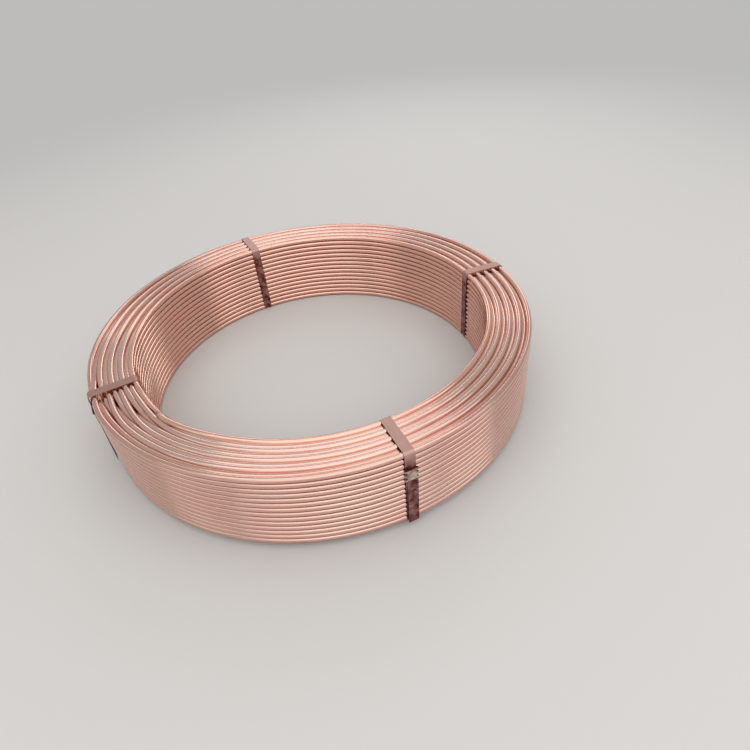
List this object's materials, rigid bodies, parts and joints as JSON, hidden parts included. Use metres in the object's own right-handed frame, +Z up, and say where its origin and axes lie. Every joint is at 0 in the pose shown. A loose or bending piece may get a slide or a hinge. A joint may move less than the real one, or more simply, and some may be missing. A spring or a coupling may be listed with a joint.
{
  "type": "copper tube coil",
  "caption": "Level-wound ring of copper tube lying on its end, its nested layers held by flat straps with notched seals, with an open bore for an uncoiler's mandrel.",
  "frame": {"origin": "on the coil's axis, in the plane of the straps' undersides, which is the floor", "axes": "+Z up along the coil's axis; the strap with the pictured seal lies near -Y, towards the camera"},
  "size_m": [0.7599, 0.7596, 0.1491],
  "materials": {
    "copper_tube": "bright drawn copper, satin",
    "strap": "thin copper-coloured strip, smooth",
    "seal": "pressed sheet, bright"
  },
  "bodies": {
    "root": {"tube_coil": "copper_tube", "strap_front": "strap", "strap_right": "strap", "strap_back": "strap", "strap_left": "strap", "seal_front": "seal", "seal_right": "seal", "seal_back": "seal", "seal_left": "seal"}
  },
  "joints": []
}
